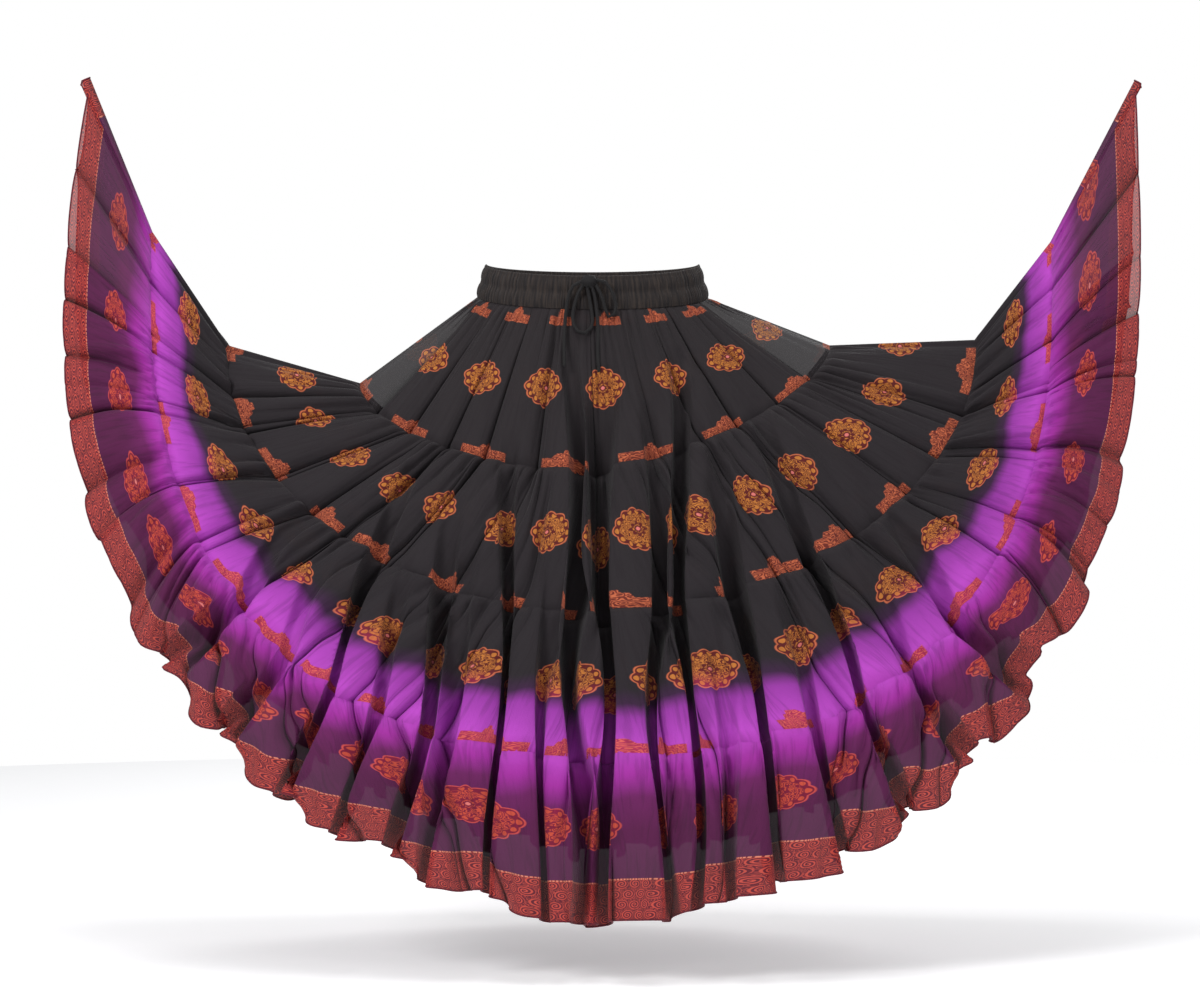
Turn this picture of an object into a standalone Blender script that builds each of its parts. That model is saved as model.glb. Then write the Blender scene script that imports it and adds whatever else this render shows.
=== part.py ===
"""Tribal belly dance skirt: a long tiered drawstring skirt, worn, with both sides of its hem held up.

Metres, +Z up. The front of the skirt faces -Y and the origin is the middle of the waist opening.
The cloth runs down from the top of the waistband: "down" below is the length along the cloth.
"""
import math

import bmesh
import bpy
import numpy as np

COLLECTION = "tribal_belly_dance_skirt"

WALL = 0.0012
CASING_WALL = 0.0026
CASING_PUFF = 0.0022
SEAM_GAP = 0.0004
RIDGE_RUN = 0.008
AROUND_STEP = 0.0008
RIDGE_REACH = 0.004
DOWN_STEP = 0.004
RING_POINTS = 500
COUNT_POINTS = 20001
PUFF_ROOM = 0.03
SHARP_ANGLE = math.radians(50)

# The cloth is read at these lengths down from the waist. A ridge is the line where the front turns
# into the back, from the hip up to the held tip of the hem. "low" is the lowest point of the ring,
# "deep" how far it stands out from the ridges, and the powers shape the ring seen from the front.
# "turn" is the radius of the ridge.
SECTION_COLUMNS = (
    "down", "right_x", "right_z", "left_x", "left_z", "front_low", "back_low", "front_deep",
    "back_deep", "side_power", "drop_power", "right_bulge", "left_bulge", "sway", "turn",
)
SECTIONS = (
    # waist edge
    (0.000, 0.155, 0.022, -0.154, 0.022, -0.003, 0.018, 0.112,
     0.106, 1.00, 1.00, 0.00, 0.00, 0.00, 0.000),
    # waistband seam
    (0.047, 0.168, -0.026, -0.166, -0.024, -0.050, -0.032, 0.119,
     0.114, 1.00, 1.00, 0.00, 0.00, 0.00, 0.000),
    # end of tier 1
    (0.287, 0.346, -0.095, -0.338, -0.150, -0.276, -0.268, 0.170,
     0.178, 1.25, 1.25, 0.00, 0.00, 0.00, 0.008),
    # end of tier 2
    (0.490, 0.557, -0.087, -0.530, -0.095, -0.475, -0.466, 0.230,
     0.242, 1.06, 1.06, 0.00, 0.00, 0.00, 0.008),
    # end of tier 3
    (0.710, 0.667, 0.055, -0.640, 0.070, -0.667, -0.656, 0.290,
     0.304, 0.84, 0.82, 0.00, 0.00, 0.02, 0.008),
    # hem
    (0.945, 0.790, 0.291, -0.731, 0.295, -0.887, -0.874, 0.330,
     0.350, 1.12, 0.64, 0.01, 0.06, 0.12, 0.008),
)

TABLE = np.array(SECTIONS)

# One row for each gathered tier: its waves all round, their height, how far the tier puffs out
# below its seam, and the lengths of cloth where its rings lie, as shares of the tier. A tier in
# halves is a front and a back strip, sewn together along the ridges.
TIERS = (
    {"name": "tier_1", "top": 1, "halves": False, "waves": 24, "height": 0.010, "puff": 0.004,
     "rings": (0.0, 0.30, 0.65, 1.0), "points": (0.0, 0.24, 0.42, 0.58, 0.76)},
    {"name": "tier_2", "top": 2, "halves": True, "waves": 36, "height": 0.012, "puff": 0.006,
     "rings": (0.0, 0.30, 0.65, 1.0), "points": (0.0, 0.28, 0.50, 0.72)},
    {"name": "tier_3", "top": 3, "halves": True, "waves": 52, "height": 0.013, "puff": 0.008,
     "rings": (0.0, 0.28, 0.62, 1.0), "points": (0.0, 0.28, 0.50, 0.72)},
    {"name": "tier_4", "top": 4, "halves": True, "waves": 80, "height": 0.015, "puff": 0.009,
     "rings": (0.0, 0.24, 0.58, 1.0), "points": (0.0, 0.28, 0.50, 0.72)},
)
# Waves bunch up and thin out this many times around, by this share of their spacing. The numbers
# are even, so that a valley lies on each ridge.
WAVE_BUNCHES = ((4, 0.20), (10, 0.18), (26, 0.16))
WAVE_CARRY = 0.55
WAVE_RISE = 0.7
FOLD_SHARPNESS = 0.75
FOLD_CREST = 1.55
WAVES_PER_STEP = 2
STEP_SHARPNESS = 0.4
STEP_DOWN = (TABLE[3, 0], TABLE[4, 0], TABLE[5, 0])
STEP_SHARE = (0.0, 0.35, 1.0)
HEM_UNEVEN = ((9, 0.006), (23, 0.004))

CASING_POINTS = 96
CASING_RINGS = (0.0, 0.17, 0.38, 0.46, 0.54, 0.78, 1.0)
CASING_PUFFS = (0.0, 1.0, 0.75, 0.0, 0.75, 1.0, 0.0)

CORD_DIAMETER = 0.005
CORD_STEP = 0.012
CORD_BEVEL = 2
ROUTE_STEPS = 12
KNOT_SIZE = (0.011, 0.008, 0.009)
KNOT_SEGMENTS = 16
KNOT_RINGS = 9
KNOT_AT = (-0.004, -0.1249, -0.010)
# Routes of the drawstring from the knot's middle: across, up, and how far forward.
CORD_ROUTES = {
    "drawstring_loop_left": (
        (-0.0092, -0.0068, 0.0000), (-0.0160, -0.0190, 0.0000), (-0.0230, -0.0470, 0.0016),
        (-0.0200, -0.0670, 0.0076), (-0.0070, -0.0745, 0.0098), (0.0050, -0.0630, 0.0066),
        (0.0030, -0.0380, 0.0006), (-0.0023, -0.0099, 0.0000),
    ),
    "drawstring_loop_right": (
        (0.0118, 0.0015, 0.0000), (0.0220, -0.0005, 0.0000), (0.0330, -0.0160, 0.0000),
        (0.0385, -0.0360, 0.0004), (0.0340, -0.0510, 0.0022), (0.0255, -0.0480, 0.0016),
        (0.0185, -0.0230, 0.0000), (0.0100, -0.0058, 0.0000),
    ),
    "drawstring_end_left": (
        (-0.0119, -0.0015, 0.0000), (-0.0200, -0.0040, 0.0000), (-0.0285, -0.0190, 0.0000),
        (-0.0330, -0.0480, 0.0018), (-0.0350, -0.0850, 0.0122), (-0.0345, -0.1200, 0.0238),
    ),
    "drawstring_end_right": (
        (0.0048, -0.0092, 0.0000), (0.0095, -0.0300, 0.0000), (0.0130, -0.0700, 0.0084),
        (0.0125, -0.1000, 0.0178), (0.0140, -0.1280, 0.0246),
    ),
}

COLOURS = {
    "waistband": (0.020, 0.017, 0.019, 1.0),
    "tier_1": (0.023, 0.019, 0.023, 1.0),
    "tier_2": (0.024, 0.020, 0.024, 1.0),
    "tier_3": (0.300, 0.055, 0.320, 1.0),
    "tier_4": (0.120, 0.010, 0.075, 1.0),
    "drawstring": (0.012, 0.011, 0.012, 1.0),
}
CLOTH_ROUGHNESS = 0.85
CORD_ROUGHNESS = 0.75


def section(down):
    """The measures of the cloth's ring at one length down, by name."""
    above = int(np.clip(np.searchsorted(TABLE[:, 0], down) - 1, 0, len(TABLE) - 2))
    share = (down - TABLE[above, 0]) / (TABLE[above + 1, 0] - TABLE[above, 0])
    values = TABLE[above] + share * (TABLE[above + 1] - TABLE[above])
    return dict(zip(SECTION_COLUMNS, values))


def half_ring(down, back):
    """Points from the right ridge to the left one, across the front or the back."""
    row = section(down)
    turn = np.linspace(0.0, math.pi, RING_POINTS)
    side = np.sign(np.cos(turn)) * np.abs(np.cos(turn)) ** row["side_power"]
    drop = np.abs(np.sin(turn)) ** row["drop_power"]
    bulge = np.where(side > 0, row["right_bulge"], row["left_bulge"]) * 4 * drop * (1 - drop)
    middle_x = (row["right_x"] + row["left_x"]) / 2
    reach = (row["right_x"] - row["left_x"]) / 2
    middle_z = (row["right_z"] + row["left_z"]) / 2
    tilt = (row["right_z"] - row["left_z"]) / 2
    low = row["back_low"] if back else row["front_low"]
    deep = row["back_deep"] if back else -row["front_deep"]
    points = np.empty((len(turn), 3))
    points[:, 0] = middle_x + reach * side * (1 + bulge)
    points[:, 1] = deep * np.sin(turn)
    points[:, 2] = middle_z + tilt * side - (middle_z - low) * drop
    return points, row["sway"], row["turn"]


def along(points):
    """Length along a line of points, from its first point."""
    steps = np.linalg.norm(np.diff(points, axis=0), axis=1)
    return np.concatenate(([0.0], np.cumsum(steps)))


def smooth_ring(around, down):
    """The cloth without folds. around runs 0 to 1: right ridge, front, left ridge, back."""
    result = np.empty((len(around), 3))
    for back in (False, True):
        points, sway, turn = half_ring(down, back)
        if back:
            points = points[::-1]
        length = along(points)
        picked = (around >= 0.5) if back else (around < 0.5)
        share = (around[picked] - (0.5 if back else 0.0)) * 2
        share = share + 0.5 * sway * np.sin(2 * math.pi * share)
        place = share * length[-1]
        found = np.stack([np.interp(place, length, points[:, k]) for k in range(3)], axis=1)
        near = np.clip(np.minimum(place, length[-1] - place) / RIDGE_RUN, 0.0, 1.0)
        found[:, 1] += (1 if back else -1) * turn * np.sqrt(1 - (1 - near) ** 2)
        result[picked] = found
    return result


def ring_run(around, down):
    """Direction of the ring at each place around."""
    ahead = smooth_ring((around + AROUND_STEP) % 1.0, down)
    return ahead - smooth_ring((around - AROUND_STEP) % 1.0, down)


def fall_run(around, down):
    """Direction in which the cloth runs down from its ring."""
    return smooth_ring(around, down + DOWN_STEP) - smooth_ring(around, down - DOWN_STEP)


def outward_from(around, down):
    """Direction out of the cloth without folds."""
    outward = np.cross(ring_run(around, down), fall_run(around, down))
    return outward / np.linalg.norm(outward, axis=1, keepdims=True)


def square_fall(around, down):
    """Direction down the cloth, square to its ring. Both sides of a ridge share one direction."""
    start = np.where(around < 0.5, 0.0, 0.5)
    reach = RIDGE_REACH * min(section(down)["turn"] / RIDGE_RUN, 1.0)
    inside = np.clip(around, start + reach, start + 0.5 - reach)
    ring = ring_run(inside, down)
    ring[:, 1] *= 1 - np.abs(around - inside) / RIDGE_REACH
    ring = ring / np.linalg.norm(ring, axis=1, keepdims=True)
    fall = fall_run(around, down)
    return fall - ring * np.sum(fall * ring, axis=1, keepdims=True)


def wave_count(around, tier):
    """How many waves of a tier lie between the right ridge and this place, unevenly spaced."""
    waves = tier["waves"]
    count = waves * around
    for bunches, share in WAVE_BUNCHES:
        turn = 2 * math.pi * bunches
        uneven = np.sin(turn * around + bunches + waves) - math.sin(bunches + waves)
        count = count + share * waves / turn * uneven
    return count


def wave_strength(down, index):
    """Share of a tier's wave height at one length down: none at its seam, then carried below."""
    top = TABLE[TIERS[index]["top"], 0]
    bottom = TABLE[TIERS[index]["top"] + 1, 0]
    if down <= top:
        return 0.0
    if down <= bottom:
        return ((down - top) / (bottom - top)) ** WAVE_RISE
    return WAVE_CARRY ** ((down - bottom) / (bottom - top))


def wave_shape(count):
    """Fold profile: wide round crests and narrow valleys, a valley at each whole count."""
    return FOLD_CREST * np.abs(np.sin(math.pi * count)) ** FOLD_SHARPNESS - 1.0


def draped(around, down):
    """The cloth with its folds, puffed tiers and stepped hem."""
    base = smooth_ring(around, down)
    outward = outward_from(around, down)
    room = np.abs(base[:, 1])
    lift = np.zeros(len(around))
    for index, tier in enumerate(TIERS):
        strength = wave_strength(down, index)
        if strength == 0.0:
            continue
        height = tier["height"] * strength
        lift += height * room / (room + height) * wave_shape(wave_count(around, tier))
        top = TABLE[tier["top"], 0]
        bottom = TABLE[tier["top"] + 1, 0]
        share = min((down - top) / (bottom - top), 1.0)
        lift += tier["puff"] * math.sin(math.pi * share) * room / (room + PUFF_ROOM)
    points = base + outward * lift[:, None]
    return points + hem_steps(around, down)


def hem_steps(around, down):
    """Folds of the lower tiers hang straight down in groups, so seam and hem go in steps."""
    strength = np.interp(down, STEP_DOWN, STEP_SHARE)
    shift = np.zeros((len(around), 3))
    if strength == 0.0:
        return shift
    slope = ring_run(around, down)
    run = np.linalg.norm(slope, axis=1)
    steps = wave_count(around, TIERS[-1]) / WAVES_PER_STEP
    inside = steps - np.floor(steps)
    step_width = WAVES_PER_STEP / TIERS[-1]["waves"] * run / (2 * AROUND_STEP)
    level = (inside - 0.5) * step_width * np.sin(math.pi * inside) ** STEP_SHARPNESS
    hanging = np.abs(slope[:, 0]) / run
    shift[:, 2] -= strength * hanging * level * slope[:, 2] / run
    uneven = np.zeros(len(around))
    for times, share in HEM_UNEVEN:
        uneven += share * np.sin(2 * math.pi * times * around + times)
    shift[:, 2] += strength * hanging * uneven
    return shift


def fold_columns(tier):
    """Places around for a tier's columns: the same points on every wave."""
    fine = np.linspace(0.0, 1.0, COUNT_POINTS)
    counts = wave_count(fine, tier)
    wanted = [wave + point for wave in range(tier["waves"]) for point in tier["points"]]
    return np.round(np.interp(wanted, counts, fine), 9)


def match_columns(columns, upper):
    """Moves the nearest columns onto the corners of the ring above, so that the seam fits."""
    halves = []
    for start in (0.0, 0.5):
        matched = columns[(columns >= start) & (columns < start + 0.5)]
        free = np.ones(len(matched), bool)
        for place in upper[(upper >= start) & (upper < start + 0.5)]:
            distance = np.where(free, np.abs(matched - place), np.inf)
            nearest = int(np.argmin(distance))
            matched[nearest] = place
            free[nearest] = False
        halves.append(np.sort(matched))
    return np.concatenate(halves)


def read_closed(columns, values, places):
    """Values on a closed ring of straight runs, read at other places around."""
    ring_columns = np.concatenate((columns, [columns[0] + 1.0]))
    ring_values = np.concatenate((values, values[:1]))
    picked = [np.interp(places, ring_columns, ring_values[:, k]) for k in range(3)]
    return np.stack(picked, axis=1)


def wall_faces(around, down, seam_down, half_wall):
    """Outer and inner points of the wall. seam_down is where the wall's direction is read."""
    points = draped(around, down)
    fold = draped((around + AROUND_STEP) % 1.0, seam_down)
    fold = fold - draped((around - AROUND_STEP) % 1.0, seam_down)
    across = np.cross(fold, square_fall(around, seam_down))
    across = across / np.linalg.norm(across, axis=1, keepdims=True)
    return points + across * half_wall, points - across * half_wall


def new_material(name, colour, roughness):
    material = bpy.data.materials.new(name)
    material.use_nodes = True
    shader = material.node_tree.nodes["Principled BSDF"]
    shader.inputs["Base Color"].default_value = colour
    shader.inputs["Roughness"].default_value = roughness
    shader.inputs["Metallic"].default_value = 0.0
    material.diffuse_color = colour
    return material


def finish(obj, name, material, collection):
    obj.name = name
    obj.data.name = name
    obj.data.materials.clear()
    obj.data.materials.append(material)
    for other in list(obj.users_collection):
        other.objects.unlink(obj)
    collection.objects.link(obj)


def wall(outer, inner, closed):
    """A solid wall from rows of outer and inner points, closed all round or ended at both ridges."""
    outer = np.array(outer)
    inner = np.array(inner)
    rows, columns = outer.shape[:2]
    middle = (outer + inner) / 2
    mesh = bmesh.new()
    faces = [[[mesh.verts.new(point) for point in row] for row in face] for face in (outer, inner)]
    for c in range(columns if closed else columns - 1):
        d = (c + 1) % columns
        for r in range(rows - 1):
            falling = np.linalg.norm(middle[r, c] - middle[r + 1, d])
            rising = np.linalg.norm(middle[r, d] - middle[r + 1, c])
            for face in faces:
                fill_quad(mesh, (face[r][c], face[r][d], face[r + 1][d], face[r + 1][c]),
                          falling <= rising)
        for r in (0, rows - 1):
            rim = (faces[0][r][c], faces[0][r][d], faces[1][r][d], faces[1][r][c])
            fill_quad(mesh, rim, True)
    if not closed:
        for c in (0, columns - 1):
            for r in range(rows - 1):
                end = (faces[0][r][c], faces[0][r + 1][c], faces[1][r + 1][c], faces[1][r][c])
                fill_quad(mesh, end, True)
    bmesh.ops.recalc_face_normals(mesh, faces=mesh.faces)
    data = bpy.data.meshes.new("wall")
    mesh.to_mesh(data)
    mesh.free()
    data.shade_smooth()
    data.set_sharp_from_angle(angle=SHARP_ANGLE)
    return bpy.data.objects.new("wall", data)


def fill_quad(mesh, corners, falling):
    """Two triangles. Both faces of a wall are split the same way, so that they can't cross."""
    a, b, c, d = corners
    halves = ((a, b, c), (a, c, d)) if falling else ((a, b, d), (b, c, d))
    for half in halves:
        mesh.faces.new(half)


def make_waistband(collection):
    """The gathered casing: two puffed channels between lines of stitches."""
    around = np.arange(CASING_POINTS) / CASING_POINTS
    top = TABLE[0, 0]
    bottom = TABLE[1, 0]
    outer = []
    inner = []
    for share, puff in zip(CASING_RINGS, CASING_PUFFS):
        down = top + share * (bottom - SEAM_GAP / 2 - top)
        seam_down = bottom if share == 1.0 else down
        half = WALL / 2 if share == 1.0 else CASING_WALL / 2
        face, lining = wall_faces(around, down, seam_down, half)
        normal = (face - lining) / np.linalg.norm(face - lining, axis=1, keepdims=True)
        outer.append(face + normal * CASING_PUFF * puff)
        inner.append(lining)
    obj = wall(outer, inner, closed=True)
    material = new_material("waistband", COLOURS["waistband"], CLOTH_ROUGHNESS)
    finish(obj, "waistband", material, collection)
    return around


def make_tier(tier, upper_columns, collection):
    """One gathered tier, sewn at its top to the ring above."""
    columns = fold_columns(tier)
    top = TABLE[tier["top"], 0]
    bottom = TABLE[tier["top"] + 1, 0]
    last = tier is TIERS[-1]
    seam_columns = match_columns(columns, upper_columns)
    seam = wall_faces(upper_columns, top + SEAM_GAP / 2, top, WALL / 2)
    outer = [read_closed(upper_columns, seam[0], seam_columns)]
    inner = [read_closed(upper_columns, seam[1], seam_columns)]
    for share in tier["rings"][1:]:
        down = top + share * (bottom - top)
        seam_down = down
        if share == 1.0 and not last:
            down = bottom - SEAM_GAP / 2
            seam_down = bottom
        face, back = wall_faces(columns, down, seam_down, WALL / 2)
        outer.append(face)
        inner.append(back)
    material = new_material(tier["name"], COLOURS[tier["name"]], CLOTH_ROUGHNESS)
    if not tier["halves"]:
        finish(wall(outer, inner, closed=True), tier["name"], material, collection)
        return columns
    ridge = int(np.argmin(np.abs(columns - 0.5)))
    front = [[row[:ridge + 1] for row in face] for face in (outer, inner)]
    back = [[np.vstack((row[ridge:], row[:1])) for row in face] for face in (outer, inner)]
    for name, faces, side in (("front", front, -1), ("back", back, 1)):
        for row in faces[0] + faces[1]:
            row[[0, -1], 1] = side * SEAM_GAP / 2
        obj = wall(faces[0], faces[1], closed=False)
        finish(obj, tier["name"] + "_" + name, material, collection)
    return columns


def smooth_route(points):
    """A smooth line through the points of a cord's route, at even steps."""
    points = np.array(points)
    path = []
    padded = np.vstack((2 * points[0] - points[1], points, 2 * points[-1] - points[-2]))
    for k in range(1, len(padded) - 2):
        before, start, end, after = padded[k - 1:k + 3]
        for t in np.linspace(0.0, 1.0, ROUTE_STEPS, endpoint=False):
            path.append(0.5 * (2 * start + (end - before) * t
                               + (2 * before - 5 * start + 4 * end - after) * t ** 2
                               + (3 * start - before - 3 * end + after) * t ** 3))
    path.append(points[-1])
    path = np.array(path)
    length = along(path)
    places = np.linspace(0.0, length[-1], max(4, round(length[-1] / CORD_STEP) + 1))
    return np.stack([np.interp(places, length, path[:, k]) for k in range(3)], axis=1)


def make_drawstring(collection):
    """The bow at the front: a knot, two loops and two free ends."""
    material = new_material("drawstring", COLOURS["drawstring"], CORD_ROUGHNESS)
    bpy.ops.mesh.primitive_uv_sphere_add(
        segments=KNOT_SEGMENTS, ring_count=KNOT_RINGS, radius=1.0, location=KNOT_AT)
    knot = bpy.context.object
    knot.scale = KNOT_SIZE
    bpy.ops.object.transform_apply(location=False, rotation=False, scale=True)
    knot.data.shade_smooth()
    finish(knot, "drawstring_knot", material, collection)
    for name, route in CORD_ROUTES.items():
        curve = bpy.data.curves.new(name, "CURVE")
        curve.dimensions = "3D"
        curve.bevel_depth = CORD_DIAMETER / 2
        curve.bevel_resolution = CORD_BEVEL
        curve.use_fill_caps = True
        points = smooth_route([(x, -front, z) for x, z, front in route])
        spline = curve.splines.new("POLY")
        spline.points.add(len(points) - 1)
        for place, point in zip(spline.points, points):
            place.co = (point[0], point[1], point[2], 1.0)
        obj = bpy.data.objects.new(name, curve)
        obj.location = KNOT_AT
        finish(obj, name, material, collection)


def main():
    for obj in list(bpy.data.objects):
        bpy.data.objects.remove(obj, do_unlink=True)
    collection = bpy.data.collections.new(COLLECTION)
    bpy.context.scene.collection.children.link(collection)
    columns = make_waistband(collection)
    for tier in TIERS:
        columns = make_tier(tier, columns, collection)
    make_drawstring(collection)


main()
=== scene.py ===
# %% [markdown]
# A tribal belly dance skirt: four gathered tiers under a drawstring waistband, worn, with both
# sides of its hem held up to two tips. The solids of the part give the skirt's size and form.
# Everything here is made in metres in the same frame, with the front at -Y, so nothing needs
# fitting. The frame is loaded first.

# %% Load the frame
import math

import bpy
import numpy as np
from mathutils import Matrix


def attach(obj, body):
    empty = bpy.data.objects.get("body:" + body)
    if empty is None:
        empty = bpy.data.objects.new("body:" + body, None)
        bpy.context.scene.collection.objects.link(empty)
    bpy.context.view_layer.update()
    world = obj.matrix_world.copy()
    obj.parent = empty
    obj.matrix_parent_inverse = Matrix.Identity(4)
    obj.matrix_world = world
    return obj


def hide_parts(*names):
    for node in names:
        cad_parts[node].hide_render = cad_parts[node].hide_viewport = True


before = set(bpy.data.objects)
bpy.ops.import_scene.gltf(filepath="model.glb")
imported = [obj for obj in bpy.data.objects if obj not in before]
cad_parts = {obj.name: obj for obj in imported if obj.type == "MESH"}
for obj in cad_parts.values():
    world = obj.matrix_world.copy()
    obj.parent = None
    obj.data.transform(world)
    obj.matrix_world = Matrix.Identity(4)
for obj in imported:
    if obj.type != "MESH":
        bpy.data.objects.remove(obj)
bpy.ops.object.select_all(action="DESELECT")
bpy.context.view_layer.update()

# %% [markdown]
# The photo is taken level, from 4.5 m in front and just below the hips. A camera added with
# object.camera_add and turned 90 degrees about X looks level along +Y. The lens is worked out
# from the skirt's width in the frame. The Standard view shows dyed colours as they are, without
# the softening of a film look.

# %% Camera
CAMERA_AT = (0.0116, -4.5, -0.3166)
bpy.ops.object.camera_add(location=CAMERA_AT, rotation=(math.radians(90), 0, 0))
camera = bpy.context.object
camera.name = "camera"
camera.data.sensor_width = 36
camera.data.lens = 92.7
bpy.context.scene.camera = camera
bpy.context.scene.view_settings.view_transform = "Standard"
print("camera", camera.data.lens, "mm")

# %% [markdown]
# Every finish is built from nodes. This small desk of helpers adds a node, feeds it numbers or
# other nodes, and hands back its output, so that a pattern reads like a sum. Colours that are
# the same all over a surface stay on the shader's own sockets.

# %% Node helpers
SHEEN_ROUGHNESS = 0.4
SHINE = 0.25
MIX_COLOURS = (6, 7)
MIX_RESULT = 2


class Desk:
    """Adds nodes to one new material and joins them up."""

    def __init__(self, name, roughness, alpha=1.0, sheen=0.0):
        self.material = bpy.data.materials.new(name)
        self.material.use_nodes = True
        self.nodes = self.material.node_tree.nodes
        self.links = self.material.node_tree.links
        self.shader = self.nodes["Principled BSDF"]
        self.shader.inputs["Roughness"].default_value = roughness
        self.shader.inputs["Alpha"].default_value = alpha
        self.shader.inputs["Sheen Weight"].default_value = sheen
        self.shader.inputs["Sheen Roughness"].default_value = SHEEN_ROUGHNESS
        self.shader.inputs["Specular IOR Level"].default_value = SHINE

    def feed(self, socket, value):
        if isinstance(value, bpy.types.NodeSocket):
            self.links.new(value, socket)
        else:
            socket.default_value = value

    def calc(self, operation, *values):
        node = self.nodes.new("ShaderNodeMath")
        node.operation = operation
        for socket, value in zip(node.inputs, values):
            self.feed(socket, value)
        return node.outputs[0]

    def plus(self, first, second):
        return self.calc("ADD", first, second)

    def minus(self, first, second):
        return self.calc("SUBTRACT", first, second)

    def times(self, first, second):
        return self.calc("MULTIPLY", first, second)

    def over(self, first, second):
        return self.calc("DIVIDE", first, second)

    def absolute(self, value):
        return self.calc("ABSOLUTE", value)

    def centred(self, value):
        """Runs from -0.5 to 0.5 in each repeat."""
        return self.minus(self.calc("FRACT", value), 0.5)

    def reach(self, x, y):
        """How far a place is from the middle."""
        return self.calc("SQRT", self.plus(self.times(x, x), self.times(y, y)))

    def lobed(self, angle, lobes):
        """Goes from 1 to -1 and back for each lobe round a middle."""
        return self.calc("COSINE", self.times(angle, lobes))

    def place(self):
        """The cloth's own place: metres around the flat strip, and metres down from the waist."""
        flat = self.nodes.new("ShaderNodeUVMap")
        flat.uv_map = "flat"
        apart = self.nodes.new("ShaderNodeSeparateXYZ")
        self.links.new(flat.outputs[0], apart.inputs[0])
        return apart.outputs[0], apart.outputs[1]

    def point(self, x, y, z=0.0):
        node = self.nodes.new("ShaderNodeCombineXYZ")
        for socket, value in zip(node.inputs, (x, y, z)):
            self.feed(socket, value)
        return node.outputs[0]

    def noise(self, where, scale, detail=2.0):
        node = self.nodes.new("ShaderNodeTexNoise")
        self.links.new(where, node.inputs["Vector"])
        node.inputs["Scale"].default_value = scale
        node.inputs["Detail"].default_value = detail
        return node.outputs[0]

    def grain(self, around, down, scales, detail=3.0):
        """A noise stretched along the cloth, by its repeats to a metre around and down."""
        place = self.point(self.times(around, scales[0]), self.times(down, scales[1]))
        return self.noise(place, 1.0, detail)

    def step(self, value, low, high):
        """0 below low, 1 above high, smooth between. Also works the other way round."""
        node = self.nodes.new("ShaderNodeMapRange")
        node.interpolation_type = "SMOOTHSTEP"
        self.feed(node.inputs["Value"], value)
        flip = low > high
        self.feed(node.inputs["From Min"], min(low, high))
        self.feed(node.inputs["From Max"], max(low, high))
        node.inputs["To Min"].default_value = 1.0 if flip else 0.0
        node.inputs["To Max"].default_value = 0.0 if flip else 1.0
        return node.outputs[0]

    def mix(self, share, first, second):
        node = self.nodes.new("ShaderNodeMix")
        node.data_type = "RGBA"
        self.feed(node.inputs[0], share)
        for socket, colour in zip(MIX_COLOURS, (first, second)):
            self.feed(node.inputs[socket], colour)
        return node.outputs[MIX_RESULT]

    def ramp(self, value, stops):
        node = self.nodes.new("ShaderNodeValToRGB")
        stripe = node.color_ramp.elements
        stripe.remove(stripe[1])
        stripe[0].position = stops[0][0]
        stripe[0].color = stops[0][1]
        for at, colour in stops[1:]:
            stripe.new(at).color = colour
        self.feed(node.inputs[0], value)
        return node.outputs[0]

    def paint(self, colour):
        self.feed(self.shader.inputs["Base Color"], colour)

    def raise_by(self, height, distance, strength=1.0):
        node = self.nodes.new("ShaderNodeBump")
        node.inputs["Distance"].default_value = distance
        node.inputs["Strength"].default_value = strength
        self.links.new(height, node.inputs["Height"])
        self.links.new(node.outputs[0], self.shader.inputs["Normal"])


def rgb(red, green, blue):
    """A colour from 0 to 255 as on a screen, turned into light by the sRGB rule."""
    light = [((c / 255 + 0.055) / 1.055) ** 2.4 if c > 10 else c / 255 / 12.92
             for c in (red, green, blue)]
    return (*light, 1.0)


def dress(obj, *looks):
    """Gives a piece its materials, in place of any it has."""
    obj.data.materials.clear()
    for look in looks:
        obj.data.materials.append(look)


print("node helpers ready")

# %% [markdown]
# The skirt ties at the front with a soft black cord: a knot, two loops and two free ends. A
# cord can be a curve with a bevel. Here it is a tube rolled from a flat grid, so that it
# keeps a UV map along its length for the braid. Its route is the part's own.

# %% Route of the drawstring
CORD_WIDTH = 0.005
CORD_STEP = 0.012
ROUTE_STEPS = 12
KNOT_SIZE = (0.011, 0.008, 0.009)
KNOT_AT = (-0.004, -0.1249, -0.010)
KNOT_TURNS = 49
KNOT_ROWS = 25
KNOT_FLAT = (0.008, 0.012)
WRAP_DEPTH = 0.10
WRAP_INSET = 0.07
WRAP_SLANT = (1.5, 0.5)
WRAP_ROUNDNESS = 0.6
# Rows of a cord's rounded end: how far past the end, and how wide, in shares of the radius.
CORD_CAP = ((0.9, 0.0), (0.9, 0.45), (0.6, 0.8))
JOIN_WITHIN = 0.000002
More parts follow.
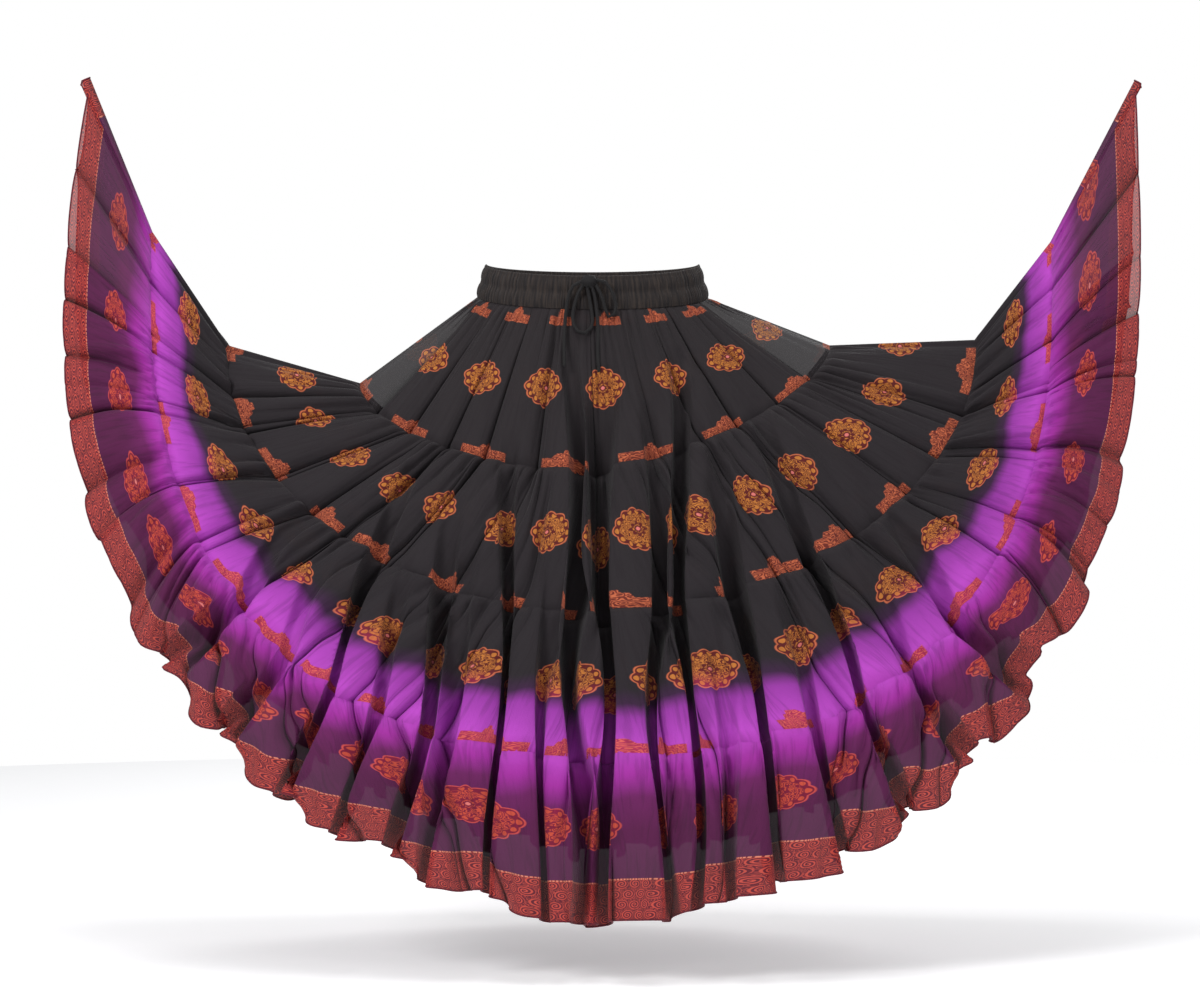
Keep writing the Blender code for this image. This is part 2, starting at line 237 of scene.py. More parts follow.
# Routes of the drawstring from the knot's middle: across, up, and how far forward.
CORD_ROUTES = {
    "drawstring_loop_left": (
        (-0.0092, -0.0068, 0.0000), (-0.0160, -0.0190, 0.0000), (-0.0230, -0.0470, 0.0016),
        (-0.0200, -0.0670, 0.0076), (-0.0070, -0.0745, 0.0098), (0.0050, -0.0630, 0.0066),
        (0.0030, -0.0380, 0.0006), (-0.0023, -0.0099, 0.0000),
    ),
    "drawstring_loop_right": (
        (0.0118, 0.0015, 0.0000), (0.0220, -0.0005, 0.0000), (0.0330, -0.0160, 0.0000),
        (0.0385, -0.0360, 0.0004), (0.0340, -0.0510, 0.0022), (0.0255, -0.0480, 0.0016),
        (0.0185, -0.0230, 0.0000), (0.0100, -0.0058, 0.0000),
    ),
    "drawstring_end_left": (
        (-0.0119, -0.0015, 0.0000), (-0.0200, -0.0040, 0.0000), (-0.0285, -0.0190, 0.0000),
        (-0.0330, -0.0480, 0.0018), (-0.0350, -0.0850, 0.0122), (-0.0345, -0.1200, 0.0238),
    ),
    "drawstring_end_right": (
        (0.0048, -0.0092, 0.0000), (0.0095, -0.0300, 0.0000), (0.0130, -0.0700, 0.0084),
        (0.0125, -0.1000, 0.0178), (0.0140, -0.1280, 0.0246),
    ),
}


def along(points):
    """Length along a line of points, from its first point."""
    steps = np.linalg.norm(np.diff(points, axis=0), axis=1)
    return np.concatenate(([0.0], np.cumsum(steps)))


def smooth_route(points):
    """A smooth line through the points of a cord's route, at even steps."""
    points = np.array(points)
    path = []
    padded = np.vstack((2 * points[0] - points[1], points, 2 * points[-1] - points[-2]))
    for k in range(1, len(padded) - 2):
        before, start, end, after = padded[k - 1:k + 3]
        for t in np.linspace(0.0, 1.0, ROUTE_STEPS, endpoint=False):
            path.append(0.5 * (2 * start + (end - before) * t
                               + (2 * before - 5 * start + 4 * end - after) * t ** 2
                               + (3 * start - before - 3 * end + after) * t ** 3))
    path.append(points[-1])
    path = np.array(path)
    length = along(path)
    places = np.linspace(0.0, length[-1], max(4, round(length[-1] / CORD_STEP) + 1))
    return np.stack([np.interp(places, length, path[:, k]) for k in range(3)], axis=1)


cord_paths = {}
for name, route in CORD_ROUTES.items():
    cord_paths[name] = smooth_route([(x, -front, z) for x, z, front in route]) + np.array(KNOT_AT)
    print(name, round(float(along(cord_paths[name])[-1]) * 1000), "mm")


# %% Rolling a tube from a flat grid
def close_seams(obj):
    """Joins edges that meet and turns the faces outwards."""
    bpy.ops.object.select_all(action="DESELECT")
    obj.select_set(True)
    bpy.context.view_layer.objects.active = obj
    bpy.ops.object.mode_set(mode="EDIT")
    bpy.ops.mesh.select_all(action="SELECT")
    bpy.ops.mesh.remove_doubles(threshold=JOIN_WITHIN)
    bpy.ops.mesh.normals_make_consistent(inside=False)
    bpy.ops.object.mode_set(mode="OBJECT")
    bpy.ops.object.shade_smooth()
    obj.select_set(False)


def flat_places(across, down):
    """UVs of a strip's points, from its columns' places across and its rows' places down."""
    return np.stack(np.broadcast_arrays(across[None, :], down[:, None]), axis=2)


def grid_strip(name, points, flat):
    """A flat grid whose points are moved to rows of places. flat gives each point's UV."""
    rows, columns = points.shape[:2]
    bpy.ops.mesh.primitive_grid_add(x_subdivisions=columns - 1, y_subdivisions=rows - 1)
    obj = bpy.context.object
    obj.name = name
    obj.data.name = name
    obj.data.vertices.foreach_set("co", points.ravel())
    corner = np.empty(len(obj.data.loops), dtype=np.int32)
    obj.data.loops.foreach_get("vertex_index", corner)
    layer = obj.data.uv_layers[0]
    layer.name = "flat"
    layer.data.foreach_set("uv", flat.reshape(-1, 2)[corner].ravel())
    obj.data.update()
    close_seams(obj)
    return obj


def rolled_tube(name, path, radius, sides=10):
    """A round tube along a path, closed by rounded ends, with the length along it as its UV."""
    path = np.array(path)
    run = np.gradient(path, axis=0)
    run /= np.linalg.norm(run, axis=1, keepdims=True)
    side = np.cross(run[0], (0.0, 1.0, 0.0))
    sides_out = []
    for direction in run:
        side = side - direction * (side @ direction)
        side /= np.linalg.norm(side)
        sides_out.append(side)
    sides_out = np.array(sides_out)
    other = np.cross(run, sides_out)
    caps = len(CORD_CAP)
    rows = [path[0] - run[0] * past * radius for past, _ in CORD_CAP]
    rows += list(path)
    rows += [path[-1] + run[-1] * past * radius for past, _ in CORD_CAP[::-1]]
    cap_sizes = [size for _, size in CORD_CAP]
    sizes = cap_sizes + [1.0] * len(path) + cap_sizes[::-1]
    frames = [0] * caps + list(range(len(path))) + [len(path) - 1] * caps
    turn = np.linspace(0.0, 2 * math.pi, sides + 1)
    points = []
    for centre, size, k in zip(rows, sizes, frames):
        ring = np.outer(np.cos(turn), sides_out[k]) + np.outer(np.sin(turn), other[k])
        points.append(centre + ring * radius * size)
    points = np.array(points)
    length = along(np.array(rows))
    return grid_strip(name, points, flat_places(turn * radius, length))


# %% Cords and knot
cords = {name: rolled_tube("cord_" + name, path, CORD_WIDTH / 2)
         for name, path in cord_paths.items()}


def tie_knot():
    """The knot of the bow: a soft lump with the cord wrapped round it in two grooved turns."""
    turn = np.linspace(0.0, 2 * math.pi, KNOT_TURNS)
    tilt = np.linspace(0.0, math.pi, KNOT_ROWS)
    wide, high = np.meshgrid(turn, tilt)
    slant = WRAP_SLANT[0] * high + WRAP_SLANT[1] * wide
    wraps = 1.0 + WRAP_DEPTH * np.abs(np.sin(slant)) ** WRAP_ROUNDNESS - WRAP_INSET
    points = np.stack((KNOT_SIZE[0] * np.cos(wide) * np.sin(high),
                       KNOT_SIZE[1] * np.sin(wide) * np.sin(high),
                       KNOT_SIZE[2] * np.cos(high)), axis=2) * wraps[:, :, None]
    flat = np.stack((wide * KNOT_FLAT[0], high * KNOT_FLAT[1]), axis=2)
    return grid_strip("bow_knot", points + np.array(KNOT_AT), flat)


knot = tie_knot()
print("drawstring pieces", len(cords) + 1)

# %% [markdown]
# The skirt's form is read from a short table: where its rings lie at six lengths down the
# cloth. This is the part's own table, with the same functions that turn it into points, so
# that the cloth lies on its solids.

# %% Rings of the skirt
# The cloth is read at these lengths down from the waist. A ridge is the line where the front turns
# into the back, from the hip up to the held tip of the hem. "low" is the lowest point of the ring,
# "deep" how far it stands out from the ridges, and the powers shape the ring seen from the front.
# "turn" is the radius of the ridge.
SECTION_COLUMNS = (
    "down", "right_x", "right_z", "left_x", "left_z", "front_low", "back_low", "front_deep",
    "back_deep", "side_power", "drop_power", "right_bulge", "left_bulge", "sway", "turn",
)
SECTIONS = (
    # waist edge
    (0.000, 0.155, 0.022, -0.154, 0.022, -0.003, 0.018, 0.112,
     0.106, 1.00, 1.00, 0.00, 0.00, 0.00, 0.000),
    # waistband seam
    (0.047, 0.168, -0.026, -0.166, -0.024, -0.050, -0.032, 0.119,
     0.114, 1.00, 1.00, 0.00, 0.00, 0.00, 0.000),
    # end of tier 1
    (0.287, 0.346, -0.095, -0.338, -0.150, -0.276, -0.268, 0.170,
     0.178, 1.25, 1.25, 0.00, 0.00, 0.00, 0.008),
    # end of tier 2
    (0.490, 0.557, -0.087, -0.530, -0.095, -0.475, -0.466, 0.230,
     0.242, 1.06, 1.06, 0.00, 0.00, 0.00, 0.008),
    # end of tier 3
    (0.710, 0.667, 0.055, -0.640, 0.070, -0.667, -0.656, 0.290,
     0.304, 0.84, 0.82, 0.00, 0.00, 0.02, 0.008),
    # hem
    (0.945, 0.790, 0.291, -0.731, 0.295, -0.887, -0.874, 0.330,
     0.350, 1.12, 0.64, 0.01, 0.06, 0.12, 0.008),
)

TABLE = np.array(SECTIONS)
RIDGE_RUN = 0.008
AROUND_STEP = 0.0008
DOWN_STEP = 0.004
RING_POINTS = 500
WAVES_PER_STEP = 2
STEP_SHARPNESS = 0.4
STEP_DOWN = (TABLE[3, 0], TABLE[4, 0], TABLE[5, 0])
STEP_SHARE = (0.0, 0.35, 1.0)
HEM_UNEVEN = ((9, 0.006), (23, 0.004))


def section(down):
    """The measures of the cloth's ring at one length down, by name."""
    above = int(np.clip(np.searchsorted(TABLE[:, 0], down) - 1, 0, len(TABLE) - 2))
    share = (down - TABLE[above, 0]) / (TABLE[above + 1, 0] - TABLE[above, 0])
    values = TABLE[above] + share * (TABLE[above + 1] - TABLE[above])
    return dict(zip(SECTION_COLUMNS, values))


def half_ring(down, back):
    """Points from the right ridge to the left one, across the front or the back."""
    row = section(down)
    turn = np.linspace(0.0, math.pi, RING_POINTS)
    side = np.sign(np.cos(turn)) * np.abs(np.cos(turn)) ** row["side_power"]
    drop = np.abs(np.sin(turn)) ** row["drop_power"]
    bulge = np.where(side > 0, row["right_bulge"], row["left_bulge"]) * 4 * drop * (1 - drop)
    middle_x = (row["right_x"] + row["left_x"]) / 2
    reach = (row["right_x"] - row["left_x"]) / 2
    middle_z = (row["right_z"] + row["left_z"]) / 2
    tilt = (row["right_z"] - row["left_z"]) / 2
    low = row["back_low"] if back else row["front_low"]
    deep = row["back_deep"] if back else -row["front_deep"]
    points = np.empty((len(turn), 3))
    points[:, 0] = middle_x + reach * side * (1 + bulge)
    points[:, 1] = deep * np.sin(turn)
    points[:, 2] = middle_z + tilt * side - (middle_z - low) * drop
    return points, row["sway"], row["turn"]


def smooth_ring(around, down):
    """The cloth without folds. around runs 0 to 1: right ridge, front, left ridge, back."""
    result = np.empty((len(around), 3))
    for back in (False, True):
        points, sway, turn = half_ring(down, back)
        if back:
            points = points[::-1]
        length = along(points)
        picked = (around >= 0.5) if back else (around < 0.5)
        share = (around[picked] - (0.5 if back else 0.0)) * 2
        share = share + 0.5 * sway * np.sin(2 * math.pi * share)
        place = share * length[-1]
        found = np.stack([np.interp(place, length, points[:, k]) for k in range(3)], axis=1)
        near = np.clip(np.minimum(place, length[-1] - place) / RIDGE_RUN, 0.0, 1.0)
        found[:, 1] += (1 if back else -1) * turn * np.sqrt(1 - (1 - near) ** 2)
        result[picked] = found
    return result


def ring_run(around, down):
    """Direction of the ring at each place around."""
    ahead = smooth_ring((around + AROUND_STEP) % 1.0, down)
    return ahead - smooth_ring((around - AROUND_STEP) % 1.0, down)


def fall_run(around, down):
    """Direction in which the cloth runs down from its ring."""
    return smooth_ring(around, down + DOWN_STEP) - smooth_ring(around, down - DOWN_STEP)


def outward_from(around, down):
    """Direction out of the cloth without folds."""
    outward = np.cross(ring_run(around, down), fall_run(around, down))
    return outward / np.linalg.norm(outward, axis=1, keepdims=True)


def hem_steps(around, down):
    """Folds of the lower tiers hang straight down in groups, so seam and hem go in steps."""
    strength = np.interp(down, STEP_DOWN, STEP_SHARE)
    shift = np.zeros((len(around), 3))
    if strength == 0.0:
        return shift
    slope = ring_run(around, down)
    run = np.linalg.norm(slope, axis=1)
    steps = wave_count(around, TIERS[-1]) / WAVES_PER_STEP
    inside = steps - np.floor(steps)
    step_width = WAVES_PER_STEP / TIERS[-1]["waves"] * run / (2 * AROUND_STEP)
    level = (inside - 0.5) * step_width * np.sin(math.pi * inside) ** STEP_SHARPNESS
    hanging = np.abs(slope[:, 0]) / run
    shift[:, 2] -= strength * hanging * level * slope[:, 2] / run
    uneven = np.zeros(len(around))
    for times, share in HEM_UNEVEN:
        uneven += share * np.sin(2 * math.pi * times * around + times)
    shift[:, 2] += strength * hanging * uneven
    return shift


hem_line = smooth_ring(np.arange(0, 1, 0.001), SECTIONS[-1][0])
print("hem ring", round(float(along(hem_line)[-1]), 2), "m")

# %% [markdown]
# Each tier is one flat strip of thin cotton whose upper edge is drawn up and sewn to the tier
# above. The strip starts as a flat grid. Its columns are threads that run down the cloth, spaced
# evenly along the folded ring, and its rows are lengths down from the waist. Each point is then
# moved to where the cloth hangs: on the solid's own ring, with the part's waves, then finer
# gathers that start at the seam and die out at their own lengths, then deep folds that each
# start at their own length down. UVs keep each thread's place on the flat strip, in metres.

# %% Tiers as cut
TIERS = (
    {"name": "tier_1", "top": 1, "waves": 24, "height": 0.010, "puff": 0.004, "gathers": 84,
     "gather": 0.0050, "repeats": 14, "rows": 40, "columns": 1100, "nodes": ("tier_1",)},
    {"name": "tier_2", "top": 2, "waves": 36, "height": 0.012, "puff": 0.006, "gathers": 126,
     "gather": 0.0080, "repeats": 32, "rows": 36, "columns": 1700,
     "nodes": ("tier_2_front", "tier_2_back")},
    {"name": "tier_3", "top": 3, "waves": 52, "height": 0.015, "puff": 0.008, "gathers": 182,
     "gather": 0.0105, "repeats": 46, "rows": 36, "columns": 2400,
     "nodes": ("tier_3_front", "tier_3_back")},
    {"name": "tier_4", "top": 4, "waves": 80, "height": 0.019, "puff": 0.009, "gathers": 280,
     "gather": 0.0115, "repeats": 62, "rows": 35, "columns": 2500,
     "nodes": ("tier_4_front", "tier_4_back")},
)

# The cloth is woven with the same motifs all along it, so a tier's width is its repeats.
MOTIF_SPACING = 0.130
for tier in TIERS:
    tier["flat"] = round(tier["repeats"] * MOTIF_SPACING, 3)

# The longest folds, one row each: the side they are on, how far across they are at the waist and
# at the hem, the length down where they start, how deep they are and half their width.
LONG_FOLD_COLUMNS = ("side", "across_top", "across_hem", "start", "depth", "width")
LONG_FOLDS = (
    ("front", -0.030, -0.026, 0.08, 0.060, 0.0120),
    ("front", 0.016, 0.022, 0.13, 0.085, 0.0200),
    ("front", -0.052, -0.070, 0.40, 0.045, 0.0100),
    ("front", 0.074, 0.098, 0.20, 0.055, 0.0110),
    ("front", 0.112, 0.146, 0.12, 0.065, 0.0140),
    ("front", -0.098, -0.138, 0.24, 0.060, 0.0130),
    ("front", -0.118, -0.222, 0.44, 0.040, 0.0110),
    ("front", -0.126, -0.272, 0.36, 0.065, 0.0150),
    ("front", 0.128, 0.196, 0.47, 0.035, 0.0100),
    ("front", 0.136, 0.262, 0.30, 0.080, 0.0180),
    ("front", 0.146, 0.352, 0.50, 0.040, 0.0120),
    ("front", -0.140, -0.350, 0.48, 0.045, 0.0120),
    ("front", -0.146, -0.430, 0.30, 0.045, 0.0130),
    ("front", 0.152, 0.440, 0.26, 0.045, 0.0140),
    ("front", -0.150, -0.515, 0.52, 0.035, 0.0110),
    ("front", 0.156, 0.530, 0.54, 0.035, 0.0110),
    ("front", -0.154, -0.600, 0.46, 0.035, 0.0110),
    ("front", 0.160, 0.620, 0.44, 0.035, 0.0120),
    ("back", -0.018, -0.030, 0.10, 0.060, 0.0130),
    ("back", 0.034, 0.048, 0.16, 0.050, 0.0110),
    ("back", -0.060, -0.096, 0.42, 0.040, 0.0110),
    ("back", 0.072, 0.108, 0.36, 0.060, 0.0140),
    ("back", -0.092, -0.164, 0.20, 0.070, 0.0160),
    ("back", 0.104, 0.176, 0.14, 0.045, 0.0110),
    ("back", -0.120, -0.245, 0.30, 0.060, 0.0140),
    ("back", 0.130, 0.262, 0.34, 0.065, 0.0150),
    ("back", -0.136, -0.330, 0.50, 0.040, 0.0120),
    ("back", 0.142, 0.345, 0.46, 0.040, 0.0110),
    ("back", -0.145, -0.420, 0.28, 0.045, 0.0130),
    ("back", 0.150, 0.436, 0.32, 0.045, 0.0120),
    ("back", -0.150, -0.545, 0.46, 0.035, 0.0120),
    ("back", 0.158, 0.580, 0.42, 0.035, 0.0110),
)
LONG_FOLD_RUN = 0.34
FOLD_SWAY = 0.006
FOLD_TURNS = 11.0
FOLD_STAGGER = 50
FOLD_FLOOR = 0.9
# The lips of a long fold stand out a little and close over it. Places are in half widths.
LIP_HEIGHT = 0.10
LIP_TOP = 2.4
LIP_AT = 1.5
LIP_REACH = 0.6
LIP_CLOSE = 0.78
WAVE_CLOSE = 0.5
CLOSE_STEP = 0.0004
CLOSE_ROOM = 0.05
FOLD_ROOM = 0.12
# Panels between valleys: how flat they are, and how unlike in height and depth.
PANEL_FLATNESS = 0.42
PANEL_HEIGHT = (1.15, 0.5)
PANEL_DEPTH = (0.1, 1.1, 1.5)
PANEL_SHARE = 0.9
# Gathers: how round they are, how far down they reach, how deep, and what stays of them below.
GATHER_RISE = 0.07
GATHER_ROUNDNESS = 0.6
GATHER_REACH = (0.16, 0.8)
GATHER_DEPTH = (0.25, 1.4)
GATHER_FADE = 1.5
GATHER_KEPT = 0.12
GATHER_MIDDLE = 0.35
GATHER_SLANT = 1.2
SEAM_DIP = 0.0040
SEAM_WIDTH = 0.0055
GATHER_BUNCHES = ((5, 0.16), (13, 0.20), (31, 0.22))
WAVE_BUNCHES = ((4, 0.20), (10, 0.18), (26, 0.16))
WAVE_CARRY = 0.55
WAVE_RISE = 0.7
PUFF_ROOM = 0.03
JUST_OVER = 1e-9
SCATTER = (12.9898, 78.233, 43758.5453)
print("flat widths", {tier["name"]: tier["flat"] for tier in TIERS})


# %% Waves, gathers and long folds
def chance(number, seed):
    """A fixed number from 0 to 1 for each fold, so that no two folds are alike."""
    turned = np.sin(number * SCATTER[0] + seed * SCATTER[1]) * SCATTER[2]
    return turned - np.floor(turned)


def wave_count(around, tier):
    """How many waves of a tier lie between the right ridge and this place, unevenly spaced."""
    waves = tier["waves"]
    count = waves * around
    for bunches, share in WAVE_BUNCHES:
        turn = 2 * math.pi * bunches
        uneven = np.sin(turn * around + bunches + waves) - math.sin(bunches + waves)
        count = count + share * waves / turn * uneven
    return count


def span(tier):
    """Lengths down of a tier's upper and lower seams."""
    return TABLE[tier["top"], 0], TABLE[tier["top"] + 1, 0]


def wave_strength(down, tier):
    """Share of a tier's wave height at one length down: none at its seam, then carried below."""
    top, bottom = span(tier)
    if down <= top:
        return 0.0
    if down <= bottom:
        return ((down - top) / (bottom - top)) ** WAVE_RISE
    return WAVE_CARRY ** ((down - bottom) / (bottom - top))


def fold_wave(count, waves, seed):
    """Wide flat panels between narrow valleys, a valley at each whole count."""
    fold = np.floor(count + JUST_OVER) % waves
    crest = np.abs(np.sin(math.pi * count)) ** PANEL_FLATNESS
    height = PANEL_HEIGHT[0] + PANEL_HEIGHT[1] * chance(fold, seed)
    depth = PANEL_DEPTH[0] + PANEL_DEPTH[1] * chance(fold, seed + 4) ** PANEL_DEPTH[2]
    return height * crest - 1.0 + PANEL_SHARE * depth * (crest - 1.0)


def gather_lift(around, share, tier):
    """Fine gathers below the seam. Each one has its own depth and dies out at its own length."""
    folds = tier["gathers"]
    count = folds * around
    for bunches, part in GATHER_BUNCHES:
        turn = 2 * math.pi * bunches
        place = turn * around + bunches + GATHER_SLANT * share
        count = count + part * folds / turn * np.sin(place)
    fold = np.floor(count) % folds
    crest = np.abs(np.sin(math.pi * count)) ** GATHER_ROUNDNESS
    reach = GATHER_REACH[0] + GATHER_REACH[1] * chance(fold, tier["top"]) ** 2
    depth = GATHER_DEPTH[0] + GATHER_DEPTH[1] * chance(fold, tier["top"] + 9)
    fade = (1 - GATHER_KEPT) * np.exp(-(share / reach) ** GATHER_FADE) + GATHER_KEPT
    rise = min(share / GATHER_RISE, 1.0) ** GATHER_ROUNDNESS
    if tier is not TIERS[-1]:
        rise *= min((1.0 - share) / GATHER_RISE, 1.0) ** GATHER_ROUNDNESS
    return tier["gather"] * rise * (depth * fade * crest - GATHER_MIDDLE)


def long_folds(around, down, base):
    """Deep folds at their own places across. Gives how far the cloth goes out, and how far across
    its lips move, since they close over the fold."""
    lift = np.zeros(len(around))
    across = np.zeros(len(around))
    for row in LONG_FOLDS:
        fold = dict(zip(LONG_FOLD_COLUMNS, row))
        grown = np.clip((down - fold["start"]) / LONG_FOLD_RUN, 0.0, 1.0)
        if grown == 0.0:
            continue
        slide = down / SECTIONS[-1][0]
        line = fold["across_top"] + (fold["across_hem"] - fold["across_top"]) * slide
        line += FOLD_SWAY * math.sin(FOLD_TURNS * down + FOLD_STAGGER * fold["across_top"])
        near = (base[:, 0] - line) / fold["width"]
        same_side = (around < 0.5) == (fold["side"] == "front")
        valley = LIP_HEIGHT * np.exp(-(np.abs(near) - LIP_TOP) ** 2)
        valley -= np.exp(-(near / FOLD_FLOOR) ** 4)
        lips = near * np.exp(-((np.abs(near) - LIP_AT) / LIP_REACH) ** 2)
        lift += np.where(same_side, fold["depth"] * grown * valley, 0.0)
        across -= np.where(same_side, LIP_CLOSE * fold["width"] * grown * lips, 0.0)
    return lift, across


def closed_valleys(around, down):
    """Places around with the threads near each valley drawn together, so that panels widen."""
    moved = around.copy()
    for other in TIERS:
        strength = wave_strength(down, other)
        if strength == 0.0:
            continue
        before = wave_count(around - CLOSE_STEP, other)
        rate = (wave_count(around + CLOSE_STEP, other) - before) / (2 * CLOSE_STEP)
        turn = 2 * math.pi * wave_count(around, other)
        moved -= WAVE_CLOSE * strength * np.sin(turn) / (2 * math.pi * rate)
    room = np.abs(smooth_ring(around, down)[:, 1])
    share = np.clip(room / CLOSE_ROOM, 0.0, 1.0)
    return np.clip(around + (moved - around) * share, 0.0, 1.0 - JUST_OVER)


def draped(around, down, tier=None):
    """Where the cloth hangs: the part's waves, and the finer folds of its own tier."""
    placed = closed_valleys(around, down)
    base = smooth_ring(placed, down)
    outward = outward_from(placed, down)
    room = np.abs(base[:, 1])
    lift = np.zeros(len(around))
    for other in TIERS:
        strength = wave_strength(down, other)
        if strength == 0.0:
            continue
        height = other["height"] * strength
        wave = fold_wave(wave_count(around, other), other["waves"], other["top"])
        lift += height * room / (room + height) * wave
        top, bottom = span(other)
        share = min((down - top) / (bottom - top), 1.0)
        lift += other["puff"] * math.sin(math.pi * share) * room / (room + PUFF_ROOM)
        if other is tier:
            lift += gather_lift(around, share, tier) * room / (room + tier["gather"])
    for seam in TABLE[2:-1, 0]:
        dip = SEAM_DIP * math.exp(-((down - seam) / SEAM_WIDTH) ** 2)
        lift -= dip * room / (room + PUFF_ROOM)
    depth, across = long_folds(around, down, base)
    space = np.clip(room / FOLD_ROOM, 0.0, 1.0)
    hung = base + outward * (lift + depth * space)[:, None] + hem_steps(around, down)
    hung[:, 0] += across * space
    return hung


ring = draped(np.arange(0, 1, 0.0002), SECTIONS[-1][0], TIERS[-1])
print("hem", round(float(along(ring)[-1]), 2), "m along its folds")


# %% Hanging a strip
DENSE = 30000
ROWS_CLOSER_AT_TOP = 1.25
# The strip's top edge is tucked behind the tier above, as a seam's allowance is.
ALLOWANCE = 0.005
ALLOWANCE_DEPTH = 0.002


def even_threads(tier, columns):
    """Places around, evenly spaced along the folded cloth at half its length."""
    top, bottom = span(tier)
    dense = np.linspace(0.0, 1.0, DENSE + 1)
    length = along(draped(dense % 1.0, (top + bottom) / 2, tier))
    around = np.interp(np.linspace(0.0, length[-1], columns), length, dense)
    around[np.argmin(np.abs(around - 0.5))] = 0.5
    return around


def surface_area(obj):
    return sum(face.area for face in obj.data.polygons)


def hang_tier(tier):
    """The tier's flat strip, hung in its folds and joined at its side seam."""
    top, bottom = span(tier)
    around = even_threads(tier, tier["columns"])
    shares = np.linspace(0.0, 1.0, tier["rows"]) ** ROWS_CLOSER_AT_TOP
    downs = top + shares * (bottom - top)
    rows = [draped(around % 1.0, down, tier) for down in downs]
    if tier["top"] > 1:
        tucked = draped(around % 1.0, top - ALLOWANCE)
        inward = outward_from(around % 1.0, top) * ALLOWANCE_DEPTH
        rows.insert(0, tucked - inward)
        downs = np.insert(downs, 0, top - ALLOWANCE)
    points = np.array(rows)
    points[:, -1] = points[:, 0]
    thread = np.linspace(0.0, tier["flat"], tier["columns"])
    flat = flat_places(thread, downs)
    obj = grid_strip("cloth_" + tier["name"], points, flat)
    share = surface_area(obj) / (tier["flat"] * (bottom - top))
    print(obj.name, len(obj.data.polygons) * 2, "triangles, area over flat area", round(share, 2))
    return obj, around


cloths = {}
threads = {}
for tier in TIERS:
    cloths[tier["name"]], threads[tier["name"]] = hang_tier(tier)

# %% [markdown]
# The hem is rolled: a narrow edge turned twice and sewn, which stretches the cloth a little and
# makes it wavy. A thin tube along the last row of threads gives that edge its roundness.

# %% Rolled hem
HEM_RADIUS = 0.0012
HEM_SIDES = 6
HEM_FLAT = 0.001


def roll_hem():
    """A thin tube along the last row of threads of the last tier."""
    down = SECTIONS[-1][0]
    around = threads[TIERS[-1]["name"]]
    line = draped(around % 1.0, down, TIERS[-1])
    line[-1] = line[0]
    ahead = np.roll(line[:-1], -1, axis=0) - np.roll(line[:-1], 1, axis=0)
    ahead = np.vstack((ahead, ahead[:1]))
    ahead /= np.linalg.norm(ahead, axis=1, keepdims=True)
    below = draped(around % 1.0, down, TIERS[-1])
    below = below - draped(around % 1.0, down - DOWN_STEP, TIERS[-1])
    below -= ahead * np.sum(below * ahead, axis=1, keepdims=True)
    below /= np.linalg.norm(below, axis=1, keepdims=True)
    out = np.cross(ahead, below)
    turn = np.linspace(0.0, 2 * math.pi, HEM_SIDES + 1)
    rows = [line + HEM_RADIUS * (below * math.cos(t) + out * math.sin(t)) for t in turn]
    thread = np.linspace(0.0, TIERS[-1]["flat"], len(around))
    wound = down + turn * HEM_FLAT
    flat = flat_places(thread, wound)
    return grid_strip("rolled_hem", np.array(rows), flat)


hem = roll_hem()
print(hem.name, len(hem.data.polygons) * 2, "triangles")

# %% [markdown]
# The waistband is a strip folded double, with two stitched channels that the drawstring runs
# through. The cord draws it up into fine upright puckers, which pinch in at each line of
# stitches. It is one sheet that goes up outside, over the top edge, and down inside.

# %% Waistband
CASING_PUCKERS = 150
CASING_COLUMNS = 1500
CASING_FLAT = (1.36, 0.096)
CASING_HALF = 0.0013
CASING_PUFF = 0.0022
CASING_ROWS = (26, 8)
CHANNEL_WIDTH = 0.020
CHANNEL_ROUNDNESS = 0.6
PUCKER_ROUNDNESS = 0.7
PUCKER_DEPTH = (0.0009, 0.0011)
PUCKER_MIDDLE = 0.6
PUCKER_AT_STITCHES = 0.65
PUCKER_SEED = 31
CASING_STITCHES = (0.0, 0.0035, 0.0215, 0.0255, 0.0455, 0.047)


def channel_puff(down):
    """How far a channel stands out between its lines of stitches."""
    puff = 0.0
    for upper, lower in zip(CASING_STITCHES[:-1], CASING_STITCHES[1:]):
        if upper <= down <= lower:
            wide = min((lower - upper) / CHANNEL_WIDTH, 1.0)
            bow = math.sin(math.pi * (down - upper) / (lower - upper))
            puff = wide * bow ** CHANNEL_ROUNDNESS
    return puff


def casing_row(around, down, side):
    """One row of the waistband, on its outer or inner face."""
    base = smooth_ring(around, down)
    outward = outward_from(around, down)
    count = CASING_PUCKERS * around
    for bunches, part in GATHER_BUNCHES:
        turn = 2 * math.pi * bunches
        count = count + part * CASING_PUCKERS / turn * np.sin(turn * around + 2 * bunches)
    fold = np.floor(count) % CASING_PUCKERS
    crest = np.abs(np.sin(math.pi * count)) ** PUCKER_ROUNDNESS
    depth = PUCKER_DEPTH[0] + PUCKER_DEPTH[1] * chance(fold, PUCKER_SEED)
    puff = channel_puff(down)
    lift = CASING_HALF * side + (CASING_PUFF * puff if side > 0 else 0.0)
    free = PUCKER_AT_STITCHES + (1 - PUCKER_AT_STITCHES) * puff
    lift = lift + depth * (crest - PUCKER_MIDDLE) * free
    return base + outward * lift[:, None]


